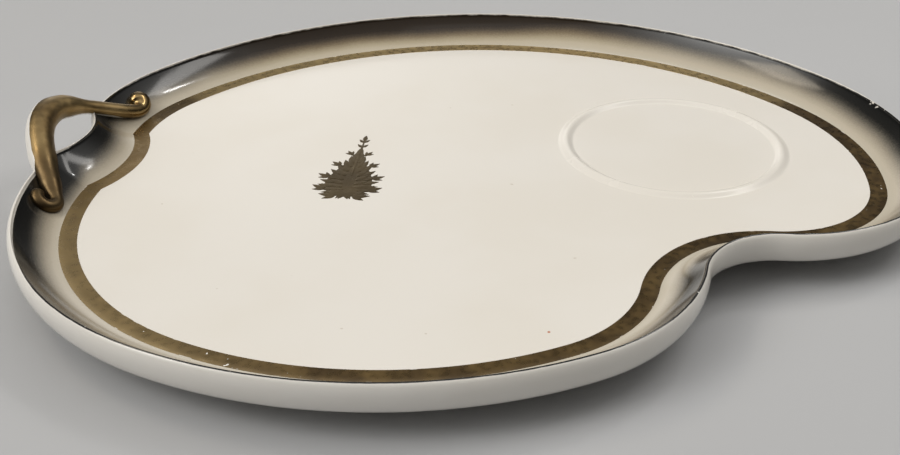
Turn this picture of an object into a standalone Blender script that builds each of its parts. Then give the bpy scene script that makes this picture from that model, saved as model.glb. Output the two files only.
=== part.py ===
"""Palette-shaped porcelain snack plate with a looped handle and a raised ring that keeps a cup in place.

Metres, +Z up, +X towards the cup's end, +Y away from the waist. The plate stands on the origin, which is
under the middle of its box.
"""

import math

import bmesh
import bpy
from mathutils import Vector

CLEARANCE = 0.0003  # gap between pieces that touch

# Plan of the lip's inner edge: four round lobes, counter-clockwise, placed from the centre of the first
HANDLE_LOBE_RADIUS = 0.0705
WAIST_LOBE_X = 0.0349
WAIST_LOBE_Y = -0.0247
WAIST_LOBE_RADIUS = 0.0437
CUP_LOBE_X = 0.1003
CUP_LOBE_Y = 0.0158
CUP_LOBE_RADIUS = 0.0382
BACK_LOBE_X = -0.0146
BACK_LOBE_Y = 0.0362
BACK_LOBE_RADIUS = 0.0506
# Radii of the arcs between them. The waist is hollow, and a straight side joins the last to the first.
FRONT_ARC = 0.0973
WAIST_ARC = 0.0184
END_ARC = 0.0709
END_START = math.radians(-12.3)  # bearing on the cup's lobe where the end arc goes on from it
BACK_ARC = 0.1119
WRAP_SLACK = 1.02  # of the least arc that wraps two lobes

# Bay in the straight side, behind the handle
BAY_RADIUS = 0.028  # at the foot of the wall
BAY_DEPTH = 0.004

# Section of the dish
FOOT_HEIGHT = 0.003
FLOOR_THICKNESS = 0.0038
WALL_RUN = 0.0087
WALL_RISE = 0.0064
WALL_CURVE = 0.7  # share of the rise that a parabola makes, the rest being straight
LIP_WIDTH = 0.0013
LIP_CROWN = 0.0005
SIDE_RUN = 0.002  # half width of the ellipse that the outside follows
SIDE_DROP = 0.0075  # half height of it
SIDE_TURN = math.radians(82)  # how far round it the outside goes
UNDERSIDE_INSET = 0.014

FOOT_INSET = 0.024
FOOT_TOP_WIDTH = 0.0045
FOOT_BASE_WIDTH = 0.0026

CUP_RING_BACK_X = 0.0179  # from the centre of the cup's lobe towards the handle
CUP_RING_BACK_Y = 0.0182  # and away from the waist
CUP_RING_RADIUS = 0.027
CUP_RING_WIDTH = 0.0032
CUP_RING_HEIGHT = 0.0008

BAND_WIDTH = 0.0038
GILDING = 0.0002  # thickness of the band and the spray

# Handle: an arch in a sloping plane, with a curl at each end that lies on the wall
HANDLE_SPAN = 0.0484
HANDLE_REACH = 0.0157
HANDLE_SLOPE = math.radians(37)
HANDLE_INSET = 0.0065  # of the arch's feet from the lip
HANDLE_LIFT = 0.0023  # of the arch's feet above the floor
ROD_CROWN = 0.0032  # radius at the top of the arch
ROD_FOOT = 0.0018  # radius where the arch ends and a curl starts
ROD_TIP = 0.0015
CURL_RADIUS = 0.0031
CURL_TURN = math.radians(190)

# Spray: leaves round a teardrop
SPRAY_X = 0.0005  # of its foot, from the handle lobe's centre
SPRAY_Y = 0.0049
SPRAY_HEIGHT = 0.0345
SPRAY_WIDTH = 0.0165
SPRAY_LEAN = math.radians(6)
SPRAY_TAPER = 3  # a higher one narrows the upper half
SPRAY_STEM = 0.0008
SPRAY_LEAVES = 6  # on each side
SPRAY_LEAF_ARC = math.radians(140)  # from the foot, of the 180 degrees up to the tip
SPRAY_HEART = 0.32  # of the height, where the leaves point away from
SPRAY_FULLNESS = 0.76  # of the teardrop between the leaves

# Fineness of the meshes
STEP = 0.006
TURN = math.radians(10)
WALL_STEPS = 5
SIDE_STEPS = 4
RING_STEPS = 56
RING_CROWN_STEPS = 6
ROD_SIDES = 12
LEAF_STEPS = 3

FLOOR_TOP = FOOT_HEIGHT + FLOOR_THICKNESS
LIP_EDGE = FLOOR_TOP + WALL_RISE


def ray(angle):
    return Vector((math.cos(angle), math.sin(angle)))


def bearing(vector):
    return math.atan2(vector.y, vector.x)


def meeting_point(a, reach_a, b, reach_b, side):
    """The point this far from a and from b, left of the way from a to b for side 1, or else right of it."""
    way = b - a
    along = (way.length_squared + reach_a**2 - reach_b**2) / (2 * way.length)
    across = math.sqrt(max(reach_a**2 - along**2, 0))
    way.normalize()
    return a + way * along + Vector((-way.y, way.x)) * across * side


class Arc:
    """Part of a circle, walked from an angle through a sweep. On a hollow one, outwards is to its centre."""

    def __init__(self, centre, radius, start, sweep):
        self.centre, self.radius, self.start, self.sweep = centre, radius, start, sweep
        self.steps = max(radius * abs(sweep) / STEP, abs(sweep) / TURN)

    def at(self, share):
        out = ray(self.start + self.sweep * share)
        return self.centre + out * self.radius, out if self.sweep > 0 else -out


class Straight:
    def __init__(self, start, end):
        self.start, self.end = start, end
        self.steps = (end - start).length / STEP

    def at(self, share):
        way = (self.end - self.start).normalized()
        return self.start.lerp(self.end, share), Vector((way.y, -way.x))


def bridge(lobe, following, radius):
    """The arc that is tangent to two lobes. One that is too small to wrap both is widened until it does."""
    a, b = Vector(lobe[:2]), Vector(following[:2])
    if radius < 0:
        centre = meeting_point(a, lobe[2] - radius, b, following[2] - radius, -1)
        start, end = bearing(a - centre), bearing(b - centre)
        return Arc(centre, -radius, start, -((start - end) % math.tau))
    radius = max(radius, WRAP_SLACK * ((b - a).length + lobe[2] + following[2]) / 2)
    centre = meeting_point(a, radius - lobe[2], b, radius - following[2], 1)
    start, end = bearing(a - centre), bearing(b - centre)
    return Arc(centre, radius, start, (end - start) % math.tau)


def tangent_line(lobe, following):
    a, b = Vector(lobe[:2]), Vector(following[:2])
    out = ray(bearing(b - a) - math.acos((lobe[2] - following[2]) / (b - a).length))
    return Straight(a + out * lobe[2], b + out * following[2])


def lobe_arc(lobe, start, end):
    """The part of a lobe between two outward directions."""
    sweep = (bearing(end) - bearing(start)) % math.tau
    return Arc(Vector(lobe[:2]), lobe[2], bearing(start), sweep)


def lip_outline():
    """The pieces of the lip's inner edge, from the front end of the straight side round to that side."""
    handle = (0, 0, HANDLE_LOBE_RADIUS)
    waist = (WAIST_LOBE_X, WAIST_LOBE_Y, WAIST_LOBE_RADIUS)
    cup = (CUP_LOBE_X, CUP_LOBE_Y, CUP_LOBE_RADIUS)
    back = (BACK_LOBE_X, BACK_LOBE_Y, BACK_LOBE_RADIUS)
    turn = ray(END_START)
    end = (*(Vector(cup[:2]) + turn * (CUP_LOBE_RADIUS - END_ARC)), END_ARC)
    front_join = bridge(handle, waist, FRONT_ARC)
    waist_join = bridge(waist, cup, -WAIST_ARC)
    back_join = bridge(end, back, BACK_ARC)
    side = tangent_line(back, handle)
    return [
        lobe_arc(handle, side.at(1)[1], front_join.at(0)[1]),
        front_join,
        lobe_arc(waist, front_join.at(1)[1], waist_join.at(0)[1]),
        waist_join,
        lobe_arc(cup, waist_join.at(1)[1], turn),
        lobe_arc(end, turn, back_join.at(0)[1]),
        back_join,
        lobe_arc(back, back_join.at(1)[1], side.at(0)[1]),
        side,
    ]


OUTLINE = lip_outline()
OUTLINE_STEPS = sum(piece.steps for piece in OUTLINE)
SIDE_MIDDLE, HANDLE_OUT = OUTLINE[-1].at(0.5)
HANDLE_ALONG = Vector((HANDLE_OUT.y, -HANDLE_OUT.x))
BAY_CENTRE = SIDE_MIDDLE + HANDLE_OUT * (BAY_RADIUS - WALL_RUN - BAY_DEPTH)
BAY_STEPS = math.ceil(math.acos(1 - BAY_DEPTH / BAY_RADIUS) / TURN)


def outline_point(position, inset):
    """A point this far inside the lip's edge. The position counts steps from the straight side's middle."""
    position = (position - OUTLINE[-1].steps / 2) % OUTLINE_STEPS
    for piece in OUTLINE:
        if position <= piece.steps:
            break
        position -= piece.steps
    point, out = piece.at(min(position / piece.steps, 1))
    return point - out * inset


def bay_corner(inset, direction):
    """How many steps from the straight side's middle the curve at this inset leaves the bay's circle."""
    radius = BAY_RADIUS + inset - WALL_RUN
    inside, outside = 0, OUTLINE_STEPS / 4
    for _ in range(40):
        middle = (inside + outside) / 2
        if (outline_point(direction * middle, inset) - BAY_CENTRE).length < radius:
            inside = middle
        else:
            outside = middle
    return outside


def plain_ring(inset):
    """Points round the outline at this inset, without the bay."""
    count = round(OUTLINE_STEPS)
    return [outline_point(OUTLINE_STEPS * index / count, inset) for index in range(count)]


def bay_ring(inset):
    """Points round the outline and the bay at this inset, as many as at any other.

    The bay's two corners are sharp at the foot of the wall and inside it. Further out they are rounded.
    """
    level = max(inset, WALL_RUN)
    outwards = level - inset
    front, back = bay_corner(level, 1), bay_corner(level, -1)
    span = OUTLINE_STEPS - front - back
    count = round(OUTLINE_STEPS)
    points = [outline_point(front + span * index / count, inset) for index in range(count + 1)]
    corners = [outline_point(-back, level), outline_point(front, level)]
    half = bearing(HANDLE_OUT)
    swing = bearing(BAY_CENTRE - corners[0]) - half
    swing = (swing + math.pi) % math.tau - math.pi
    shares = [index / BAY_STEPS for index in range(1, BAY_STEPS)]
    points += [corners[0] + ray(half + swing * share) * outwards for share in shares]
    radius = BAY_RADIUS + inset - WALL_RUN
    for index in range(4 * BAY_STEPS + 1):
        points.append(BAY_CENTRE - ray(half + swing * (1 - index / (2 * BAY_STEPS))) * radius)
    points += [corners[1] + ray(half - swing * (1 - share)) * outwards for share in shares]
    return points


def raised(points, height):
    return [Vector((point.x, point.y, height)) for point in points]


def new_object(name, build_mesh, color, roughness, metallic):
    bm = bmesh.new()
    build_mesh(bm)
    bmesh.ops.remove_doubles(bm, verts=bm.verts, dist=1e-6)
    bmesh.ops.edgeloop_fill(bm, edges=[edge for edge in bm.edges if edge.is_boundary])
    bmesh.ops.recalc_face_normals(bm, faces=bm.faces)
    mesh = bpy.data.meshes.new(name)
    bm.to_mesh(mesh)
    bm.free()
    material = bpy.data.materials.new(name)
    material.use_nodes = True
    shader = material.node_tree.nodes["Principled BSDF"]
    shader.inputs["Base Color"].default_value = (*color, 1)
    shader.inputs["Roughness"].default_value = roughness
    shader.inputs["Metallic"].default_value = metallic
    mesh.materials.append(material)
    obj = bpy.data.objects.new(name, mesh)
    bpy.context.scene.collection.objects.link(obj)
    return obj


def skin(bm, rings, closed=False):
    """Walls between rings of as many points each. On a closed one the last ring is joined to the first."""
    verts = [[bm.verts.new(point) for point in ring] for ring in rings]
    count = len(verts[0])
    for index in range(0 if closed else 1, len(verts)):
        below, above = verts[index - 1], verts[index]
        for corner in range(count):
            following = (corner + 1) % count
            bm.faces.new((below[corner], below[following], above[following], above[corner]))


def dish_section():
    """The dish's section as (inset, height), from the foot of the wall over the lip to the underside."""
    points = []
    for index in range(WALL_STEPS + 1):
        share = index / WALL_STEPS
        rise = (1 - WALL_CURVE) * share + WALL_CURVE * share**2
        points.append((WALL_RUN * (1 - share), FLOOR_TOP + WALL_RISE * rise))
    for angle in (math.radians(45), math.radians(90), math.radians(135)):
        points.append((-LIP_WIDTH / 2 * (1 - math.cos(angle)), LIP_EDGE + LIP_CROWN * math.sin(angle)))
    for index in range(SIDE_STEPS + 1):
        angle = SIDE_TURN * index / SIDE_STEPS
        inset = SIDE_RUN * (1 - math.cos(angle)) - LIP_WIDTH
        points.append((inset, LIP_EDGE - SIDE_DROP * math.sin(angle)))
    points.append((UNDERSIDE_INSET, FOOT_HEIGHT))
    return points


def grown(section, distance):
    """An open section moved outwards, to the left of the way along it. Its two ends lie on level ground."""
    path = [Vector(point) for point in section]
    path = [path[0] + Vector((1, 0))] + path + [path[-1] + Vector((1, 0))]
    points = []
    for before, point, after in zip(path, path[1:], path[2:]):
        first, second = (point - before).normalized(), (after - point).normalized()
        middle = (first + second).normalized()
        out = Vector((middle.y, -middle.x))
        points.append(point + out * distance / Vector((first.y, -first.x)).dot(out))
    return points


def dish(section):
    return lambda bm: skin(bm, [raised(bay_ring(inset), height) for inset, height in section])


def foot(bm):
    top = FOOT_HEIGHT - CLEARANCE
    slack = (FOOT_TOP_WIDTH - FOOT_BASE_WIDTH) / 2
    section = (
        (FOOT_INSET, top),
        (FOOT_INSET + slack, 0),
        (FOOT_INSET + slack + FOOT_BASE_WIDTH, 0),
        (FOOT_INSET + FOOT_TOP_WIDTH, top),
    )
    skin(bm, [raised(plain_ring(inset), height) for inset, height in section], closed=True)


def cup_ring(bm):
    centre = Vector((CUP_LOBE_X - CUP_RING_BACK_X, CUP_LOBE_Y + CUP_RING_BACK_Y))
    base = FLOOR_TOP + CLEARANCE
    crown = CUP_RING_HEIGHT - CLEARANCE
    rings = []
    for index in range(RING_CROWN_STEPS + 1):
        angle = math.pi * index / RING_CROWN_STEPS
        radius = CUP_RING_RADIUS + CUP_RING_WIDTH / 2 * math.cos(angle)
        circle = [centre + ray(math.tau * step / RING_STEPS) * radius for step in range(RING_STEPS)]
        rings.append(raised(circle, base + crown * math.sin(angle)))
    skin(bm, rings, closed=True)


def band(bm):
    low = FLOOR_TOP + CLEARANCE
    outer, inner = bay_ring(WALL_RUN), bay_ring(WALL_RUN + BAND_WIDTH)
    high = low + GILDING
    rings = [raised(outer, low), raised(inner, low), raised(inner, high), raised(outer, high)]
    skin(bm, rings, closed=True)


def half_rod():
    """The handle from the top of its arch to a tip, as (along, up the slope, radius)."""
    half = HANDLE_SPAN / 2
    steps = math.ceil(math.radians(90) / TURN)
    path = []
    for index in range(steps + 1):
        angle = math.radians(90) * index / steps
        radius = ROD_FOOT + (ROD_CROWN - ROD_FOOT) * math.cos(angle) ** 2
        path.append((half * index / steps, HANDLE_REACH * math.cos(angle), radius))
    heading = -math.atan2(HANDLE_REACH * math.pi / 2, half)
    centre = Vector((half, 0)) + ray(heading + math.pi / 2) * CURL_RADIUS
    steps = math.ceil(CURL_TURN / (2 * TURN))
    for index in range(1, steps + 1):
        point = centre + ray(heading - math.pi / 2 + CURL_TURN * index / steps) * CURL_RADIUS
        path.append((point.x, point.y, ROD_FOOT + (ROD_TIP - ROD_FOOT) * index / steps))
    last = Vector(path[-1][:2])
    for angle in (math.radians(40), math.radians(75)):
        point = last + ray(heading + CURL_TURN) * ROD_TIP * math.sin(angle)
        path.append((point.x, point.y, ROD_TIP * math.cos(angle)))
    return path


def rod(bm):
    half = half_rod()
    path = [(-along, up, radius) for along, up, radius in reversed(half[1:])] + half
    along_way = HANDLE_ALONG.to_3d()
    up_way = HANDLE_OUT.to_3d() * math.cos(HANDLE_SLOPE) + Vector((0, 0, math.sin(HANDLE_SLOPE)))
    across_way = along_way.cross(up_way)
    start = raised([SIDE_MIDDLE - HANDLE_OUT * HANDLE_INSET], FLOOR_TOP + HANDLE_LIFT)[0]
    rings = []
    for index, (along, up, radius) in enumerate(path):
        before, after = path[max(index - 1, 0)], path[min(index + 1, len(path) - 1)]
        way = (along_way * (after[0] - before[0]) + up_way * (after[1] - before[1])).normalized()
        beside = across_way.cross(way)
        centre = start + along_way * along + up_way * up
        turns = [ray(math.tau * side / ROD_SIDES) * radius for side in range(ROD_SIDES)]
        rings.append([centre + beside * turn.x + across_way * turn.y for turn in turns])
    skin(bm, rings)


def curve(start, control, end):
    """Points of a bent line from start up to, and without, its end."""
    points = []
    for index in range(LEAF_STEPS):
        share = index / LEAF_STEPS
        points.append(start.lerp(control, share).lerp(control.lerp(end, share), share))
    return points


def teardrop(angle):
    """A point on the right edge of a teardrop of unit height and width, from angle 0 at its foot to pi."""
    peak = SPRAY_TAPER ** (SPRAY_TAPER / 2) / (SPRAY_TAPER + 1) ** ((SPRAY_TAPER + 1) / 2)
    across = math.sin(angle / 2) * math.cos(angle / 2) ** SPRAY_TAPER / peak
    return Vector((across / 2, (1 - math.cos(angle)) / 2))


def spray_half():
    """The right edge of the spray, foot to tip: leaves between a teardrop and a smaller one inside it."""
    heart = Vector((0, SPRAY_HEART))
    stem = Vector((SPRAY_STEM / SPRAY_WIDTH / 2, 0))
    span = SPRAY_LEAF_ARC / SPRAY_LEAVES
    points = []
    for index in range(SPRAY_LEAVES):
        low, high = index * span, (index + 1) * span
        root, next_root = (heart.lerp(teardrop(angle), SPRAY_FULLNESS) + stem for angle in (low, high))
        tip = teardrop((low + high) / 2) + stem
        points += curve(root, teardrop(low) + stem, tip)
        points.append(tip)
    return points + curve(next_root, Vector((next_root.x, tip.y)), Vector((0, 1)))


def spray(bm):
    half = spray_half()
    outline = half + [Vector((0, 1))] + [Vector((-point.x, point.y)) for point in reversed(half)]
    lean = ray(SPRAY_LEAN)
    points = []
    for point in outline:
        across, up = point.x * SPRAY_WIDTH, point.y * SPRAY_HEIGHT
        turned = Vector((across * lean.x + up * lean.y, up * lean.x - across * lean.y))
        points.append(Vector((SPRAY_X, SPRAY_Y)) + turned)
    low = FLOOR_TOP + CLEARANCE
    skin(bm, [raised(points, low), raised(points, low + GILDING)])


def build():
    for obj in list(bpy.data.objects):
        bpy.data.objects.remove(obj)
    section = dish_section()
    parts = [
        new_object("plate_body", dish(section), (0.82, 0.78, 0.68), 0.12, 0),
        new_object("foot_ring", foot, (0.72, 0.68, 0.6), 0.7, 0),
        new_object("cup_ring", cup_ring, (0.84, 0.8, 0.71), 0.12, 0),
        new_object("gold_band", band, (0.28, 0.18, 0.07), 0.35, 1),
        new_object("gilt_spray", spray, (0.12, 0.085, 0.045), 0.4, 1),
        new_object("handle", rod, (0.42, 0.26, 0.09), 0.28, 1),
    ]
    seat = new_object("handle_seat", dish(grown(section, CLEARANCE)), (0.5, 0.5, 0.5), 0.5, 0)
    seat.hide_render = True
    seat.display_type = "WIRE"
    cut = parts[-1].modifiers.new("seat", "BOOLEAN")
    cut.operation = "DIFFERENCE"
    cut.solver = "EXACT"
    cut.object = seat

    corners = [vertex.co for part in parts for vertex in part.data.vertices]
    plate = bpy.data.objects.new("snack_plate", None)
    bpy.context.scene.collection.objects.link(plate)
    for axis in (0, 1):
        values = [corner[axis] for corner in corners]
        plate.location[axis] = -(min(values) + max(values)) / 2
    for obj in parts + [seat]:
        obj.parent = plate


build()
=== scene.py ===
"""Looks of the palette-shaped snack plate: porcelain, a shaded rim and gilding, in soft studio light.

Metres, +Z up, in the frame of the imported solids. The plan and the section repeat the solids' sizes
at a finer step.
"""

import math

import bmesh
import bpy
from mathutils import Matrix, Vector


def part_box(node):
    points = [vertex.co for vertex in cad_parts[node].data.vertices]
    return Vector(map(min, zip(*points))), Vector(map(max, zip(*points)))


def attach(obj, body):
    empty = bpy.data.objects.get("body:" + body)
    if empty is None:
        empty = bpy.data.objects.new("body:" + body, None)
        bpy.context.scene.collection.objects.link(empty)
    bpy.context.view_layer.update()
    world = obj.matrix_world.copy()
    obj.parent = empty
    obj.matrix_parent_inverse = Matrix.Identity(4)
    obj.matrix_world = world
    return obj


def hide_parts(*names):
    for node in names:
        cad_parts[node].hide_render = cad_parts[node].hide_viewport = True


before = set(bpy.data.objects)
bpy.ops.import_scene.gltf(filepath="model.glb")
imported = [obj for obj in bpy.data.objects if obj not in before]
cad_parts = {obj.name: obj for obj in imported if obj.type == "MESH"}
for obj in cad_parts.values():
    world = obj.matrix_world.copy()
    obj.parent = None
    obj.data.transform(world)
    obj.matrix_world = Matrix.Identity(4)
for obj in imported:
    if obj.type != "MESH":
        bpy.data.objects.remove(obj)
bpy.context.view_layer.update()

# Plan of the lip's inner edge: four round lobes, counter-clockwise, placed from the centre of the first
HANDLE_LOBE_RADIUS = 0.0705
WAIST_LOBE_X = 0.0349
WAIST_LOBE_Y = -0.0247
WAIST_LOBE_RADIUS = 0.0437
CUP_LOBE_X = 0.1003
CUP_LOBE_Y = 0.0158
CUP_LOBE_RADIUS = 0.0382
BACK_LOBE_X = -0.0146
BACK_LOBE_Y = 0.0362
BACK_LOBE_RADIUS = 0.0506
# Radii of the arcs between them. The waist is hollow, and a straight side joins the last to the first.
FRONT_ARC = 0.0973
WAIST_ARC = 0.0184
END_ARC = 0.0709
END_START = math.radians(-12.3)  # bearing on the cup's lobe where the end arc goes on from it
BACK_ARC = 0.1119

# Bay in the straight side, behind the handle
BAY_RADIUS = 0.028  # at the foot of the wall
BAY_DEPTH = 0.004

# Section of the dish
FOOT_HEIGHT = 0.003
FLOOR_TOP = 0.0068
FLOOR_INSETS = (0.03, 0.024, 0.018, 0.0145)  # rings of points on the flat floor
WALL_RUN = 0.0087
WALL_RISE = 0.0064
WALL_CURVE = 0.7  # share of the rise that a parabola makes, the rest being straight
WALL_SOFTNESS = 0.0016  # how far the turn from floor to wall is eased, each way
WALL_MARGIN = 0.00048  # flat floor between that turn and the first of the wall's rings of points
WALL_START = WALL_RUN + WALL_SOFTNESS + WALL_MARGIN
LIP_WIDTH = 0.0013
LIP_CREST = 0.0002  # how far outside its inner edge the lip is highest
LIP_CROWN = 0.0005
LIP_SHOULDER = 0.0021  # how far below its inner edge the outside is widest
SIDE_RUN = 0.0036  # half width of the ellipse that the outside follows
SIDE_DROP = 0.0054  # half height of it
SIDE_TURN = math.radians(82)  # how far round it the outside goes
SIDE_EASE = 0.002  # length of the handles of the curve from the outside to the underside
UNDERSIDE_EASE = 0.003
UNDERSIDE_INSET = 0.014
UNDERSIDE_INSETS = (0.019, 0.0235, 0.03)  # rings of points on the flat underside

# Foot ring
FOOT_INSET = 0.024
FOOT_TOP_WIDTH = 0.0045
FOOT_BASE_WIDTH = 0.0026
FOOT_ROUNDING = 0.0007
SINK = 0.0001  # how far a piece reaches into the dish that carries it

# Cup ring
CUP_RING_BACK_X = 0.0179  # from the centre of the cup's lobe towards the handle
CUP_RING_BACK_Y = 0.0182  # and away from the waist
CUP_RING_RADIUS = 0.027
CUP_RING_HEIGHT = 0.0008
CUP_RING_INNER_FLANK = 0.0019
CUP_RING_OUTER_FLANK = 0.0023
CUP_RING_EDGE = 0.00001  # how far below the floor its flanks run out

# Gilt band
BAND_WIDTH = 0.0038
BAND_LAP = 0.0001  # of the band over the foot of the wall
GILDING = 0.00004  # thickness

# Handle: an arch in a sloping plane, which tapers to a hook at the front and ends in a knob at the back
HANDLE_FRONT_SPAN = 0.026  # from the top of the arch to each foot
HANDLE_BACK_SPAN = 0.0242
HANDLE_FRONT_FALL = 1.0  # a higher one makes that leg straighter
HANDLE_BACK_FALL = 1.4
HANDLE_REACH = 0.0155
HANDLE_SLOPE = math.radians(37)
HANDLE_INSET = 0.0065  # of the arch's feet from the lip
HANDLE_LIFT = 0.0023  # of the arch's feet above the floor
# Radius of the rod along the arch, from the front foot at -1 to the back foot at 1
ROD_RADII = (
    (-1, 0.0017),
    (-0.85, 0.0026),
    (-0.6, 0.0033),
    (0, 0.0034),
    (0.22, 0.0031),
    (0.5, 0.0019),
    (1, 0.0020),
)
ROD_DEPTH = 0.92  # thickness across the handle's plane, of that in it
HOOK_RADIUS = 0.0023
HOOK_TURN = math.radians(205)
HOOK_TIP = 0.0016  # radius of the rod there
KNOB_RADIUS = 0.0032
KNOB_TURN = math.radians(70)
KNOB_TIP = 0.0030
TIP_TURN = math.radians(86)  # how far round a tip its last ring of points lies

# Spray: leaves on a stem, within a teardrop
SPRAY_X = 0.0005  # of its foot, from the handle lobe's centre
SPRAY_Y = 0.0049
SPRAY_HEIGHT = 0.0345
SPRAY_WIDTH = 0.0172
SPRAY_LEAN = math.radians(6)
SPRAY_TAPER = 3  # a higher one narrows the upper half
# Heart: the filled middle, with small leaves round its edge
HEART_WIDTH = 0.66  # shares of the teardrop's width and height
HEART_HEIGHT = 0.7
HEART_UP = 0.0018
HEART_ROWS = (1, 0.6)  # places of the rows of leaves, as shares of its width
HEART_LEAVES = 15  # on each side
HEART_LEAF_ROOT = 0.0024  # how far inside the edge they start
HEART_LEAF_TIP = 0.0017  # and how far outside it they end
HEART_LEAF_WIDTH = 0.0016
HEART_LEAF_FAN = 0.5  # a lower one makes the upper ones steeper
# Sprigs: stalks with three leaves, in pairs
SPRIG_PAIRS = 5
SPRIG_LOWEST = math.radians(30)  # place of the lowest and highest pair on the teardrop
SPRIG_HIGHEST = math.radians(118)
SPRIG_RISE = 0.0025  # from root to tip
SPRIG_ROOT = 0.45  # how far out it starts, as a share of the way to the edge
SPRIG_SPREAD = math.radians(38)  # between its leaves
SPRIG_LEAF = 0.0042  # length of the lowest pair's leaves
SPRIG_TAPER = 0.45  # how much shorter the highest pair's are
SPRIG_SIDE_LEAF = 0.8  # length of the outer two, of the middle one
LEAF_SHAPE = 0.42  # width of a leaf, of its length
LEAF_FULLNESS = 0.75  # a lower one makes leaves widest nearer their root
LEAF_POINT = 0.00001  # half width at its two ends
LEAF_RIB = 0.00003  # how much a leaf is raised along its middle
STEM_WIDTH = 0.0008
STEM_BUDS = (0.8, 0.88)  # shares of the height where it has pairs of small leaves
BUD_LENGTH = 0.0022
TOP_LENGTH = 0.0031  # leaf at its top
TOP_WIDTH = 0.0012
LAYER = 0.00001  # step between the layers of leaves, of which the heart's rows are the lowest
SPRIG_LAYER = 3
STEM_LAYER = 4

# Fineness of the meshes
STEP = 0.0015
TURN = math.radians(3)
EASE_STEPS = 8
WALL_STEPS = 24
LIP_STEPS = 12
SIDE_STEPS = 14
UNDER_STEPS = 10
FOOT_STEPS = 6
RING_STEPS = 160
RIDGE_STEPS = 24
BAND_STEPS = 6
LEG_STEPS = 45
CURL_STEPS = 26
TIP_STEPS = 6
ROD_SIDES = 40
HEART_STEPS = 24
LEAF_STEPS = 10
HALVINGS = 40  # in the search for the corners of the bay
MERGE = 1e-6
SHARP = math.radians(50)

# How far the rim's dark colour reaches over the lip's inner edge, and how much less at some places.
# A pair of limits says where a change begins and is full.
LIP_COVER = 0.0005
BACK_BARE = 0.00048
BACK_BARE_Y = (0.0, 0.04)
HANDLE_BARE = 0.0007  # in front of the handle
BAY_BARE = 0.00048
HANDLE_BARE_X = (-0.085, -0.1)
HANDLE_BARE_Y = (0.005, -0.02)  # from the bay to the front
OUTSIDE = -1  # depth that marks the outside, where the rim's colour is missing

# Where painted reflection makes the band's gold paler at the back, browner away from the handle and paler at
# the front left
BAND_PALE_REFLECTION_Y = (0.02, 0.075)
BAND_DARK_REFLECTION_X = (-0.075, -0.03)
BAND_LEFT_REFLECTION_Y = (-0.005, -0.03)
BAND_LEFT_REFLECTION_SHARE = 0.25

# How far the gilding goes round the handle's rod
GILT_MIDDLE = math.radians(105)  # round the rod, from its outer side over the top
GILT_HALF = math.radians(83)  # how far the gilding goes from there, each way
GILT_FULL = (0.017, 0.027)  # distances from the top where it begins to close round the rod and has done so

# Colours
CREAM = (0.845, 0.81, 0.75)
CREAM_DEEP = (0.825, 0.785, 0.715)
WHITE = (0.86, 0.83, 0.775)
WHITE_DEEP = (0.83, 0.795, 0.73)
SPECK = (0.42, 0.33, 0.22)
RED_SPECK = (0.55, 0.22, 0.12)
CLAY = (0.72, 0.67, 0.58)
CLAY_STAINED = (0.58, 0.52, 0.43)
BAND_DARK = (0.25, 0.165, 0.064)
BAND_LIGHT = (0.34, 0.23, 0.095)
# Colours of the band's painted pale and dark reflection
BAND_PALE_REFLECTION = (0.74, 0.57, 0.29)
BAND_DARK_REFLECTION = (0.13, 0.084, 0.037)
HANDLE_DARK = (0.19, 0.125, 0.052)
HANDLE_LIGHT = (0.37, 0.265, 0.125)
# Colours of the front leg's worn gilding and painted shade
LEG_WORN_AND_SHADED_DARK = (0.085, 0.056, 0.027)
LEG_WORN_AND_SHADED_LIGHT = (0.125, 0.087, 0.043)
SPRAY_DARK = (0.10, 0.068, 0.027)
SPRAY_LIGHT = (0.15, 0.106, 0.046)
# Colours of the rim by the share of the wall's run, from the lip to the foot of the wall: the sprayed colour,
# kept darker near the foot with painted shade
RIM_TONES_WITH_FOOT_SHADE = (
    (0.00, (0.010, 0.010, 0.010)),
    (0.26, (0.014, 0.0135, 0.012)),
    (0.34, (0.045, 0.041, 0.034)),
    (0.43, (0.14, 0.125, 0.10)),
    (0.52, (0.26, 0.23, 0.18)),
    (0.64, (0.41, 0.36, 0.28)),
    (0.80, (0.53, 0.47, 0.37)),
    (1.00, (0.56, 0.51, 0.41)),
)
# The same at the back, where it is browner
RIM_TONES_WITH_FOOT_SHADE_BACK = (
    (0.00, (0.016, 0.008, 0.001)),
    (0.26, (0.020, 0.010, 0.002)),
    (0.34, (0.050, 0.034, 0.018)),
    (0.43, (0.135, 0.098, 0.055)),
    (0.52, (0.25, 0.195, 0.115)),
    (0.64, (0.41, 0.345, 0.23)),
    (0.80, (0.53, 0.465, 0.345)),
    (1.00, (0.56, 0.505, 0.40)),
)
RIM_FADE = (1.0, 1.25)  # shares of the wall's run between which the rim gives way to the floor's cream

# Places with a look of their own
RIM_BACK_PLACE = (-0.015, 0.088, 0.017)
RIM_BACK_SIZE = 0.085
# Where the rim's dark colour ends higher or, if less than 0, lower: place, size, share of the wall's run. The
# first, at the back right, lightens the wall partly with painted reflection. The last, under the handle's
# front leg, is painted shade of the leg.
RIM_SHIFTS_AND_PAINTED_LIGHT = (
    ((0.06, 0.068, 0.017), 0.07, 0.12),
    ((-0.005, 0.089, 0.017), 0.032, -0.06),
    ((-0.0975, -0.0115, 0.011), 0.0105, -0.3),
)
RED_SPECK_PLACE = (0.0129, -0.0677, FLOOR_TOP)
RED_SPECK_SIZE = 0.0004
# A chipped patch of the lip
CHIP_PLACE = (0.1035, 0.0253, 0.0135)
CHIP_SIZE = 0.006
CHIP_SOFT = 1
CHIP_MORE = 0.16  # how much it adds to the noise that makes chips
CHIP_DEPTHS = (0.05, 0.01)  # shares of the wall's run where chips begin and are full
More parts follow.
